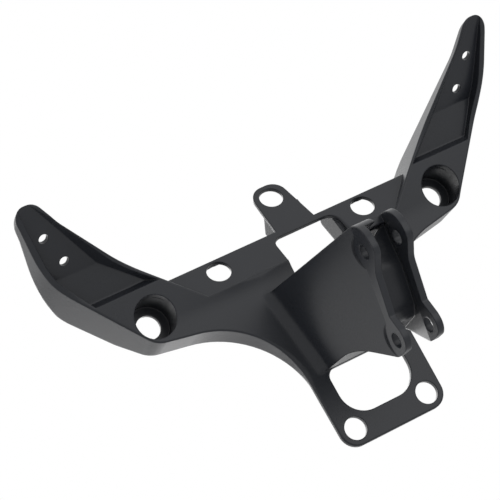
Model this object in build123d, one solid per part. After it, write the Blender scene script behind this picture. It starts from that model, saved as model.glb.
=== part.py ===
from build123d import *
import math
import os

# Headlight bracket of a motorbike, one aluminium casting, standing as it does on the bike.
# X runs across the bike, Y points forward from the fork to the headlight and Z is up.
# The origin is the middle of the upper fork bolt. Sizes are in millimetres.
# Side shapes are drawn as (y, z) and front shapes as (x, z).

# Overall: half the width over the arms, the height of the arm tips, the reach to the
# face that carries the headlight, and how far down its foot goes
half_width = 218.2
tip_z = 154.2
face_y = 135.2
foot_z = -113.0

# Walls, and how far the cutting shapes reach past what they cut
plate_t = 4.5
wall_t = 4.0
edge_r = 1.2
reach = 300.0

# Fork: two ears that take two cross bolts on the bike's frame
bolt_d = 12.0
bolt_spacing = 70.6
bolt_lean = 22.0
fork_gap = 24.0
ear_t = 5.5
pad_d = 29.4
root_r = 9.0

# Foot of the face, with a hole in each corner
foot_half_width = 48.4
foot_hole_d = 19.0
foot_hole_inset = 14.2

# Crossbar, folded forward from the top of the face, and the tongue that stands up from it
fold_z = 45.3
fold_angle = 22.35
crossbar_t = 3.5
crossbar_height = 29.6
crossbar_hole_d = 20.0
crossbar_hole_x = 69.3
crossbar_hole_h = 17.6
lip_t = 2.3
lip_depth = 5.5
tongue_x = 9.2
tongue_hole_h = 62.5
tongue_hole_d = 19.8

# Arms: a deep cup at the root, then a pocket, then the mirror face near the tip
arm_step_x = 89.2
depth = 41.5
cup_x = half_width - 81.3
cup_z = 48.0
cup_d = 34.6
cup_floor_y = face_y + 24.8
cup_hole_d = 20.4
mirror_lean = 1.12
mirror_t = 5.0
mirror_hole_d = 8.2
mirror_holes = [(half_width - 19.2, tip_z - 23.1), (half_width - 31.7, tip_z - 40.6)]
crease_y = face_y - 10.0
crease_z = tip_z - 49.3

# Where the fork's cheeks land on the face, and the ribs that carry them on behind it
root_half = foot_half_width - 7.1
rib_x = foot_half_width - 4.4
rib_t = 4.0


def side_block(corners, radii, x0=-reach, x1=reach):
    """A side shape with a radius for each corner, stretched along X from x0 to x1."""
    outline = FilletPolyline(corners, radius=radii, close=True)
    return extrude(Plane.YZ.offset(x0) * make_face(outline), amount=x1 - x0)


def front_block(corners, radii, y0=-reach, y1=reach):
    """A front shape with a radius for each corner, stretched along Y from y0 to y1."""
    outline = FilletPolyline(corners, radius=radii, close=True)
    return extrude(Plane.XZ.offset(-y0) * make_face(outline), amount=y0 - y1)


def both_sides(shape):
    """The shape and its mirror image in the middle plane of the bracket."""
    return shape + mirror(shape, about=Plane.YZ)


def bar_y(x, z, radius, y0, y1):
    """A round bar along Y from y0 to y1."""
    bar = Cylinder(radius, y1 - y0, align=(Align.CENTER, Align.CENTER, Align.MIN))
    return Pos(x, y0, z) * Rot(-90, 0, 0) * bar


def mirror_face_y(z, behind=0.0):
    """Where the mirror face lies at the height z, or a plane that far behind it."""
    return crease_y - mirror_lean * (z - crease_z) + behind * math.hypot(1, mirror_lean)


def shared_edges(solid, one, other):
    """Edges where a face whose normal passes one test meets a face that passes the other."""
    faces = [(face, face.normal_at()) for face in solid.faces()]
    first = [edge for face, normal in faces if one(normal) for edge in face.edges()]
    return [edge for face, normal in faces if other(normal) for edge in face.edges() if edge in first]


# Blank of the face and arms: the front outline, from the foot round the shoulder
# to the tip and back along the inner rim, crossed with the side shape
shoulder_x = half_width - 73.5
armpit_r = shoulder_x - foot_half_width - 21.3
above_tip = tip_z + 1.0
outline = front_block(
    [
        (0, foot_z),
        (foot_half_width, foot_z),
        (foot_half_width + 1.6, 11.2),
        (shoulder_x, 27.9),
        (half_width - 9.1, tip_z - 47.5),
        (half_width + 2.4, tip_z),
        (half_width - 17.7, tip_z),
        (half_width - 31.2, tip_z - 17.3),
        (arm_step_x, fold_z),
        (0, fold_z),
    ],
    [0, foot_hole_inset, armpit_r, 20, 75, 9, 13, 60, 0, 0],
)
side_shape = side_block(
    [
        (face_y, foot_z - 10),
        (face_y, 36.0),
        (face_y - 12.2, tip_z - 60.0),
        (face_y - 55.2, tip_z - 14.3),
        (mirror_face_y(above_tip), above_tip),
        (mirror_face_y(above_tip, mirror_t), above_tip),
        (mirror_face_y(tip_z - 17.3, mirror_t), tip_z - 17.3),
        (face_y + depth, tip_z - 67.2),
        (face_y + depth, 50.0),
        (face_y + plate_t, -52.0),
        (face_y + plate_t, foot_z - 10),
    ],
    [0, 60, 45, 15, 0, 0, 12, 14, 12, 20, 0],
)
blank = both_sides(outline) & side_shape
front_rim = shared_edges(blank, lambda normal: normal.Y < -0.3, lambda normal: abs(normal.Y) < 0.1)
front_rim = [edge for edge in front_rim if abs((edge @ 0.5).X) > 1 or (edge @ 0.5).Z < 0]
blank = fillet(front_rim, edge_r)

# Hollow behind the skin, open at the rear. A rib runs from each arm's inner wall down
# to the rib behind the cheek, between two hollows.
shell_line = side_block(
    [
        (face_y + plate_t, foot_z - 60),
        (face_y + plate_t, 33.0),
        (face_y + 1.0, 62.0),
        (face_y + 2.6, 76.0),
        (crease_y + 4.6, crease_z + 1),
        (mirror_face_y(above_tip, mirror_t), above_tip),
        (face_y + 200, above_tip),
        (face_y + 200, foot_z - 60),
    ],
    [0, 20, 6, 6, 8, 0, 0, 0],
)
under_rib = front_block(
    [
        (0, foot_z - 50),
        (foot_half_width - wall_t, foot_z - 50),
        (foot_half_width + 1.6 - wall_t, 15.0),
        (shoulder_x - 1.5, 32.1),
        (half_width - 12.7, tip_z - 46.2),
        (half_width - 3.7, tip_z),
        (half_width - 11.2, tip_z),
        (half_width - 28.4, tip_z - 19.8),
        (arm_step_x + 2.7, fold_z - 2.9),
        (0, -8.0),
    ],
    [0, 0, armpit_r + wall_t, 17, 71, 0, 0, 60, 5, 0],
)
over_rib = front_block(
    [
        (0, -3.4),
        (arm_step_x, fold_z + 0.2),
        (half_width - 31.5, tip_z - 17.3),
        (half_width - 31.5, tip_z + 50),
        (0, tip_z + 50),
    ],
    [0, 0, 0, 0, 0],
)
between_cheek_ribs = front_block(
    [(-rib_x, foot_z - 50), (rib_x, foot_z - 50), (rib_x, fold_z + 0.2), (-rib_x, fold_z + 0.2)],
    [0, 0, 0, 0],
)
shell = blank - ((both_sides(under_rib + over_rib) + between_cheek_ribs) & shell_line)

# Arm pockets: their walls are drafted and lean out towards the front. The floor starts at
# a sloping end wall over the cup, rises to the crease and goes on as the mirror face.
pocket_y = face_y - 2.0
pocket_z = cup_z + 29.9


def pocket_section(y, inner_x, outer_x, bend, top):
    """The pocket in front view at one depth, with its inner and outer foot below the end wall."""
    corners = [(inner_x, cup_z + 18.0), (outer_x, cup_z + 18.0), bend, top]
    return Plane.XZ.offset(-y) * make_face(FilletPolyline(corners, radius=[0, 0, 40, 0], close=True))


pocket_floor = pocket_section(
    pocket_y,
    half_width - 103.9,
    half_width - 45.9,
    (half_width - 19.5, tip_z - 47.2),
    (half_width - 16.7, tip_z - 18.9),
)
pocket_front = pocket_section(
    pocket_y - 70.0,
    half_width - 125.7,
    half_width - 29.8,
    (half_width - 6.2, tip_z - 51.6),
    (half_width, tip_z + 11.7),
)
pocket = loft([pocket_floor.face(), pocket_front.face()], ruled=True) & side_block(
    [
        (pocket_y - 13.2, pocket_z - 11.9),
        (pocket_y, pocket_z),
        (crease_y, crease_z),
        (mirror_face_y(tip_z + 15), tip_z + 15),
        (face_y - 200, tip_z + 15),
        (face_y - 200, pocket_z - 11.9),
    ],
    [0, 1.5, 1, 0, 0, 0],
)
shell -= both_sides(pocket)

# Cups: a deep round bore in each arm with a floor, and a hole through the floor
cup = bar_y(cup_x, cup_z, cup_d / 2 + wall_t, face_y + 1.5, cup_floor_y + wall_t) & outline
cup_bore = bar_y(cup_x, cup_z, cup_d / 2, 0, cup_floor_y)
cup_bore += bar_y(cup_x, cup_z, cup_hole_d / 2, 0, 300)
shell = shell + both_sides(cup) - both_sides(cup_bore)

# Crossbar: its plane has x along X, y up the plate and z towards the fork
tilt = math.radians(fold_angle)
bar_normal = (0, -math.cos(tilt), math.sin(tilt))
bar_plane = Plane((0, face_y - 1.3, fold_z), x_dir=(1, 0, 0), z_dir=bar_normal)


def bar_slab(corners, radii, thickness):
    """A shape drawn on the crossbar's front as (x, height), as thick as asked to the rear."""
    outline = FilletPolyline(corners, radius=radii, close=True)
    return extrude(bar_plane * make_face(outline), amount=-thickness)


def bar_hole(x, height, diameter):
    """A round bar square through the crossbar."""
    return bar_plane * Pos(x, height, 0) * Cylinder(diameter / 2, 30)


def bar_end(height):
    """Where the crossbar runs into the arm's inner wall, at a height on its plate."""
    slope = (half_width - 31.2 - arm_step_x) / (tip_z - 17.3 - fold_z)
    return arm_step_x + 2 + height * math.cos(tilt) * slope


crossbar = bar_slab(
    [
        (-bar_end(0), 0),
        (bar_end(0), 0),
        (bar_end(crossbar_height), crossbar_height),
        (-bar_end(crossbar_height), crossbar_height),
    ],
    [0, 0, 0, 0],
    crossbar_t,
)
lip_h = crossbar_height - lip_t
crossbar += bar_slab(
    [
        (-bar_end(lip_h), lip_h),
        (bar_end(lip_h), lip_h),
        (bar_end(crossbar_height), crossbar_height),
        (-bar_end(crossbar_height), crossbar_height),
    ],
    [0, 0, 0, 0],
    lip_depth,
)
tongue_top = tongue_hole_h + 13.5
crossbar += bar_slab(
    [
        (tongue_x - 17.2, 20),
        (tongue_x + 21.3, 20),
        (tongue_x + 13.7, tongue_top),
        (tongue_x - 14.0, tongue_top),
    ],
    [0, 0, 12.5, 12.5],
    crossbar_t,
)
rib_top = tongue_hole_h - 12
tongue_rib = [(lip_h, 0), (rib_top, 0), (rib_top - 5, -20), (rib_top - 10.2, -20)]
for rib_edge in (tongue_x - 15.2, tongue_x + 15.3):
    climb = Plane(bar_plane.origin + Vector(rib_edge, 0, 0), x_dir=bar_plane.y_dir, z_dir=(1, 0, 0))
    crossbar += extrude(climb * make_face(Polyline(tongue_rib, close=True)), amount=2.5)

# Ribs behind the face that carry the cheeks on, their rear edge parallel to the crossbar
bar_top_z = fold_z + crossbar_height * math.cos(tilt)
cheek_rib = side_block(
    [
        (face_y + 2, -44.0),
        (face_y + 2, fold_z - 5),
        (face_y + 11.8, bar_top_z - 1),
        (face_y + 35.3, bar_top_z - 1),
        (face_y + 21.1, fold_z - 8.7),
        (face_y + 5.8, -44.0),
    ],
    [0, 0, 0, 4, 30, 0],
    rib_x - rib_t / 2,
    rib_x + rib_t / 2,
)

# Fork: two cheeks that splay from the ears to the face, drawn wide and cut to outline
lean = math.tan(math.radians(bolt_lean))
fork_half = fork_gap / 2 + ear_t
root_y = face_y + 15
lower_bolt = (
    bolt_spacing * math.sin(math.radians(bolt_lean)),
    -bolt_spacing * math.cos(math.radians(bolt_lean)),
)


def splayed_block(inset):
    """The fork from its ears to the face, narrowed on both sides by the inset."""
    start_end = []
    root_end = []
    for side, z in ((1, -90.0), (1, 45.0), (-1, 45.0), (-1, -90.0)):
        start_end.append((side * (fork_half - inset), 6.9 - lean * z, z))
        root_end.append((side * (root_half - inset + 0.142 * z), root_y, z))
    start_face = make_face(Polyline(start_end, close=True))
    root_face = make_face(Polyline(root_end, close=True))
    ears = extrude(start_face, amount=60, dir=(0, -1, 0))
    return ears + loft([start_face.face(), root_face.face()], ruled=True)


fork = splayed_block(0) & side_block(
    [
        (root_y, 28.2),
        (-16.3, 20.9),
        (-16.3, -5.5),
        (1.5, -18.0),
        (17.3, -49.0),
        (13.8, -62.0),
        (13.8, -76.6),
        (37.0, -76.4),
        (85.0, -48.6),
        (root_y, -48.0),
    ],
    [0, 18, 10, 14, 3, 8, 11, 12, 80, 0],
)
fork -= splayed_block(ear_t) & side_block(
    [
        (-60, 15.5),
        (12.0, 15.5),
        (15.4, -2.0),
        (15.6, -15.5),
        (30.5, -45.0),
        (42.0, -52.0),
        (root_y + 1, -52.0),
        (root_y + 1, -120),
        (-60, -120),
    ],
    [0, 3, 20, 20, 10, 12, 0, 0, 0],
)
fork -= Pos(0, face_y + 50.8, 0) * Box(200, 100, 300)
cavity = splayed_block(ear_t) & side_block(
    [
        (300, 23.0),
        (20.0, 17.4),
        (20.6, -14.5),
        (34.5, -42.0),
        (44.0, -47.0),
        (300, -43.5),
    ],
    [0, 3, 20, 8, 10, 0],
)

# The lower window in the face, then the fork with its wide root fillets
window_half = foot_half_width - 15.4
window_bottom = foot_z + 21.8
bracket = shell - front_block(
    [
        (-window_half, -48.5),
        (-window_half, window_bottom),
        (window_half, window_bottom),
        (window_half, -48.5),
    ],
    [8, 21, 21, 8],
    face_y - 5,
    face_y + 10,
)
bracket += fork


def along_root(edge):
    """Whether an edge is where the outside of a cheek meets the face."""
    middle = edge @ 0.5
    return abs(middle.Y - face_y) < 0.5 and root_half - 9 < abs(middle.X) < root_half + 6 and edge.length > 60


bracket = fillet(bracket.edges().filter_by(along_root), root_r)
bracket += crossbar + both_sides(cheek_rib)
bracket -= cavity

# Window across the fold, off the middle like the tongue above it
window_left = tongue_x - 24.2
window_right = tongue_x + 36.2
bracket -= bar_slab(
    [(window_left, -6), (window_right, -6), (window_right, 24.1), (window_left, 24.1)],
    [0, 0, 11, 8],
    crossbar_t + 0.1,
)
bracket -= front_block(
    [(window_left, 30), (window_right, 30), (window_right, fold_z + 2.7), (window_left, fold_z + 2.7)],
    [4, 4, 0, 0],
    face_y - 5,
    face_y + 6,
)

# The web is open at its top, and the roof is notched over the right ear
bracket -= front_block([(-11.0, 14.0), (-11.0, 6.5), (-4.0, 6.5), (11.5, 15.0)], [0, 2, 3, 0], -5, 30)
bracket -= front_block([(-3.0, 10.0), (12.0, 10.0), (12.0, 40.0), (-3.0, 40.0)], [0, 0, 0, 0], -30, 5)

# Holes in the foot, the crossbar, the tongue, the mirror faces and the fork
foot_hole_x = foot_half_width - foot_hole_inset
foot_hole_z = foot_z + foot_hole_inset
bracket -= both_sides(bar_y(foot_hole_x, foot_hole_z, foot_hole_d / 2, face_y - 5, face_y + 20))
bracket -= both_sides(bar_hole(crossbar_hole_x, crossbar_hole_h, crossbar_hole_d))
bracket -= bar_hole(tongue_x, tongue_hole_h, tongue_hole_d)
for x, z in mirror_holes:
    square = Plane((x, mirror_face_y(z), z), x_dir=(1, 0, 0), z_dir=(0, -1, -mirror_lean))
    bracket -= both_sides(square * Cylinder(mirror_hole_d / 2, 40))
for y, z in ((0, 0), lower_bolt):
    bracket -= Plane.YZ.offset(-50) * Pos(y, z, 50) * Cylinder(bolt_d / 2, 100)
    bracket -= both_sides(Plane.YZ.offset(fork_half) * Pos(y, z, 5) * Cylinder(pad_d / 2, 10))

os.makedirs("parts", exist_ok=True)
export_step(bracket, "parts/headlight_bracket.step")
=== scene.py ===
import math

import bpy
from mathutils import Matrix, Vector

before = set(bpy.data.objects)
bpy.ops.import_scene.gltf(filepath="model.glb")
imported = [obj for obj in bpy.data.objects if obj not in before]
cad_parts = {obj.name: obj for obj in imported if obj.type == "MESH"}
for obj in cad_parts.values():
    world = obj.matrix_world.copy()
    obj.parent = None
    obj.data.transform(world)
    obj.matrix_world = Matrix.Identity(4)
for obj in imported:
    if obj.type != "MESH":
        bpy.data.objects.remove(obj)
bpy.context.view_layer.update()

# The bracket is one aluminium casting, sand-blasted and then finished in satin black powder.
# The powder flows out in the oven: it leaves a faint orange peel over the finer grain of the
# blasting, rounds every edge a little, and lies as a soft curve along the root of the fork.
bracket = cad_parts["headlight_bracket"]
coat = bpy.data.materials.new("black powder coat")
coat.use_nodes = True
surface = coat.node_tree


class Socket:
    """An output of a shader node, so that maths on values is written as maths."""

    def __init__(self, output):
        self.output = output
        self.tree = output.id_data

    @staticmethod
    def fill(node, inputs):
        """Give each input of a node, by name or number, its value or a link to a Socket."""
        for name, value in inputs.items():
            if isinstance(value, Socket):
                value.tree.links.new(value.output, node.inputs[name])
            else:
                node.inputs[name].default_value = value
        return node

    @staticmethod
    def node(tree, kind, settings, inputs):
        """A new node of a kind, with its settings and then its inputs."""
        new = tree.nodes.new("ShaderNode" + kind)
        for name, setting in settings.items():
            setattr(new, name, setting)
        return Socket.fill(new, inputs)

    def maths(self, operation, *values):
        values = dict(enumerate((self,) + values))
        return Socket(Socket.node(self.tree, "Math", {"operation": operation}, values).outputs[0])

    def __add__(self, other):
        return self.maths("ADD", other)

    def __mul__(self, other):
        return self.maths("MULTIPLY", other)

    def __sub__(self, other):
        return self.maths("SUBTRACT", other)

    def __rsub__(self, other):
        return self * -1 + other

    def __abs__(self):
        return self.maths("ABSOLUTE")

    __radd__ = __add__
    __rmul__ = __mul__

    def ramp(self, low, high, at_low, at_high):
        """at_low up to low, at_high from high on, and a straight slope between them."""
        ends = {"From Min": low, "From Max": high, "To Min": at_low, "To Max": at_high}
        new = Socket.node(self.tree, "MapRange", {"clamp": True}, {"Value": self, **ends})
        return Socket(new.outputs["Result"])


place = Socket(Socket.node(surface, "TexCoord", {}, {}).outputs["Object"])


def grain(per_metre, detail):
    """Noise from 0 to 1 that stays with the piece."""
    inputs = {"Vector": place, "Scale": per_metre, "Detail": detail}
    return Socket(Socket.node(surface, "TexNoise", {}, inputs).outputs["Fac"])


clouds = grain(18.0, 3.0)
orange_peel = grain(650.0, 2.0)
blasting = grain(2400.0, 2.0)

# The root of the fork, a line up each side of the face, is softened far more than other edges.
edge_radius = 0.0014
root_radius = 0.009
root_x = 0.043
root_y = 0.128
root_foot_z = -0.06
root_reach = 1 / 60
x, y, z = map(Socket, Socket.node(surface, "SeparateXYZ", {}, {"Vector": place}).outputs)
beside_root = abs(abs(x) - root_x).ramp(0, root_reach, 1, 0)
before_face = abs(y - root_y).ramp(0, root_reach, 1, 0)
above_foot = z.ramp(root_foot_z, root_foot_z + root_reach, 0, 1)
radius = edge_radius + root_radius * beside_root * before_face * above_foot
soft_edges = Socket.node(surface, "Bevel", {"samples": 8}, {"Radius": radius})

darkest = 0.014
cloudiness = 0.008
blue_cast = {"Red": 1, "Green": 1.1, "Blue": 1.35}
tone = darkest + cloudiness * clouds
black = {channel: share * tone for channel, share in blue_cast.items()}
grain_depth = 0.00012
relief = {
    "Strength": 0.35,
    "Distance": grain_depth,
    "Height": 0.7 * orange_peel + 0.3 * blasting,
    "Normal": Socket(soft_edges.outputs["Normal"]),
}
Socket.fill(surface.nodes["Principled BSDF"], {
    "Base Color": Socket(Socket.node(surface, "CombineColor", {}, black).outputs["Color"]),
    "Roughness": 0.22 + 0.08 * clouds + 0.05 * blasting,
    "Specular IOR Level": 0.3,
    "Normal": Socket(Socket.node(surface, "Bump", {}, relief).outputs["Normal"]),
})
bracket.data.materials.clear()
bracket.data.materials.append(coat)

# The floor is a plain pale sheet. It lies far enough below the bracket to stay out of the
# photo's view, which looks up at the part, and wide enough to fill the views from above.
floor_z = -0.55
floor_width = 24.0
bpy.ops.mesh.primitive_plane_add(size=floor_width, location=(0, 0, floor_z))
floor = bpy.context.object
pale_grey = (0.86, 0.86, 0.86, 1)
pale = bpy.data.materials.new("pale floor")
pale.use_nodes = True
Socket.fill(pale.node_tree.nodes["Principled BSDF"], {"Base Color": pale_grey, "Roughness": 0.9})
floor.data.materials.append(pale)

# The camera of the photo has a long lens. It stands in front of the bracket, below it and to
# its left, and is rolled by nearly 30 degrees.
right = Vector((0.8419, -0.2517, -0.4774))
up = Vector((0.3840, -0.3423, 0.8576))
back = Vector((-0.3792, -0.9053, -0.1915))
spot = Vector((-0.6556, -1.3363, -0.2455))
camera = bpy.data.objects.new("camera", bpy.data.cameras.new("camera"))
bpy.context.scene.collection.objects.link(camera)
turned = Matrix((right, up, back)).transposed().to_4x4()
camera.matrix_world = Matrix.Translation(spot) @ turned
camera.data.sensor_width = 36.0
camera.data.lens = 147.04
bpy.context.scene.camera = camera

# The studio is white: the camera sees it as plain white, and so does the sheen of the coat.
# The diffuse light from it is weaker, so that with the panels a colour renders as written.
diffuse_strength = 0.7
world = bpy.data.worlds.new("white")
world.use_nodes = True
sky = world.node_tree
rays = Socket.node(sky, "LightPath", {}, {}).outputs
seen = sum(Socket(rays[f"Is {kind} Ray"]) for kind in ("Camera", "Glossy", "Transmission"))
Socket.fill(sky.nodes["Background"], {
    "Color": (1, 1, 1, 1),
    "Strength": seen.ramp(0, 1, diffuse_strength, 1),
})
bpy.context.scene.world = world
bpy.context.scene.view_settings.view_transform = "Standard"

# Three soft panels light the bracket: two stand to the right of the camera, low and high, and
# a stronger one behind the part lights the walls that the camera sees at a low angle.
middle = Vector((0, 0.08, 0.02))
panel_distance = 1.3
panel_width = 0.9


def panel(name, azimuth, elevation, power):
    """A square panel turned to the bracket; azimuth 0 is +X, and 270 is in front."""
    turn = math.radians(azimuth)
    rise = math.radians(elevation)
    level = math.cos(rise)
    away = Vector((level * math.cos(turn), level * math.sin(turn), math.sin(rise)))
    lamp = bpy.data.objects.new(name, bpy.data.lights.new(name, "AREA"))
    bpy.context.scene.collection.objects.link(lamp)
    lamp.location = middle + panel_distance * away
    lamp.rotation_euler = (-away).to_track_quat("-Z", "Y").to_euler()
    lamp.data.size = panel_width
    lamp.data.energy = power


panel("front right", 295, 3, 2.4)
panel("high right", 307, 50, 1.1)
panel("behind", 88, 5, 4.4)
